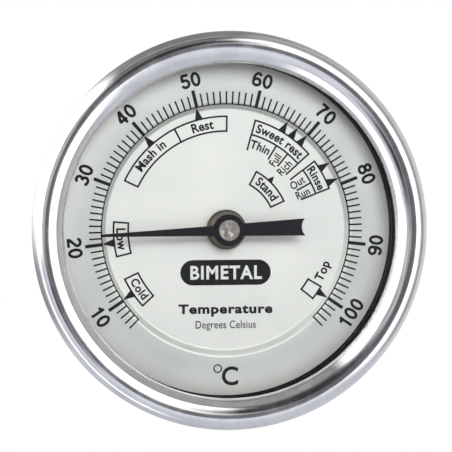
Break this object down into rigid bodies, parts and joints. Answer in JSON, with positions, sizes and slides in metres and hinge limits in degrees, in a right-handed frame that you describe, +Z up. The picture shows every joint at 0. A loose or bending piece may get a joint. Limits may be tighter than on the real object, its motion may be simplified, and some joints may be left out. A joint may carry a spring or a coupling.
{
  "type": "dial thermometer",
  "caption": "Round bimetal dial thermometer for a brew kettle, with a polished bezel, a Celsius scale, a back stem and a clamping fitting.",
  "frame": {"origin": "centre of the flange face that seats on the outside of the kettle wall, on the stem's axis", "axes": "+Y along the stem, into the kettle; the dial faces -Y; +Z up, so straight down on the dial is -Z; +X to the right of someone reading the dial"},
  "size_m": [0.084, 0.0842, 0.084],
  "materials": {
    "fitting_steel": "turned stainless steel",
    "stem_steel": "drawn stainless tube",
    "nut_steel": "machined stainless steel",
    "case_steel": "pressed stainless sheet, satin",
    "polished_bezel": "polished with fine turning marks",
    "spring_steel": "hardened spring steel",
    "bimetal_strip": "rolled strip",
    "brass_parts": "turned brass, dull",
    "guide_polymer": "white fluoropolymer",
    "fibre": "vulcanised fibre",
    "black_rubber": "matt",
    "black_spacer": "matt black moulding",
    "lens_glass": "clear, polished",
    "dial_face": "satin silver-white",
    "black_paint": "satin black",
    "rivet_metal": "hammered head"
  },
  "bodies": {
    "fitting": {"connection_fitting": "fitting_steel", "gland_o_ring": "black_rubber", "stem_tube": "stem_steel", "stem_tip_plug": "stem_steel", "coil_anchor": "brass_parts", "bimetal_coil": "bimetal_strip", "lower_guide_bush": "guide_polymer", "upper_guide_bush": "brass_parts", "friction_washer": "fibre", "case_spring_washer": "spring_steel", "retaining_clip": "spring_steel"},
    "case": {"case_cup": "case_steel", "bezel_ring": "polished_bezel", "lens": "lens_glass", "lens_gasket": "black_rubber", "bezel_o_ring": "black_rubber", "spacer_ring": "black_spacer", "dial_support_ring": "case_steel", "dial_plate": "dial_face"},
    "pointer": {"pointer_blade": "black_paint", "pointer_hub": "brass_parts", "pointer_rivet": "rivet_metal", "spindle": "spring_steel", "coil_collar": "brass_parts"},
    "washer": {"flat_washer": "nut_steel"},
    "nut": {"lock_nut": "nut_steel"}
  },
  "joints": [
    {"name": "pointer_turn", "type": "hinge", "parent": "fitting", "child": "pointer", "pos_m": [0, 0, 0], "axis": [0, 1, 0], "range_deg": [-42.9, 227], "stiffness_Nm_per_rad": 0.002, "deforming": ["bimetal_coil"]},
    {"name": "case_turn", "type": "hinge", "parent": "fitting", "child": "case", "pos_m": [0, 0, 0], "axis": [0, 1, 0], "continuous": true},
    {"name": "washer_slide", "type": "slide", "parent": "fitting", "child": "washer", "axis": [0, 1, 0], "range_m": [-0.0019, 0.00254]},
    {"name": "nut_turn", "type": "hinge", "parent": "washer", "child": "nut", "pos_m": [0, 0, 0], "axis": [0, 1, 0], "range_deg": [-540, 720]}
  ],
  "couplings": [
    {"joint": "nut_turn", "follows": "washer_slide", "rad_per_m": 4947.4}
  ]
}
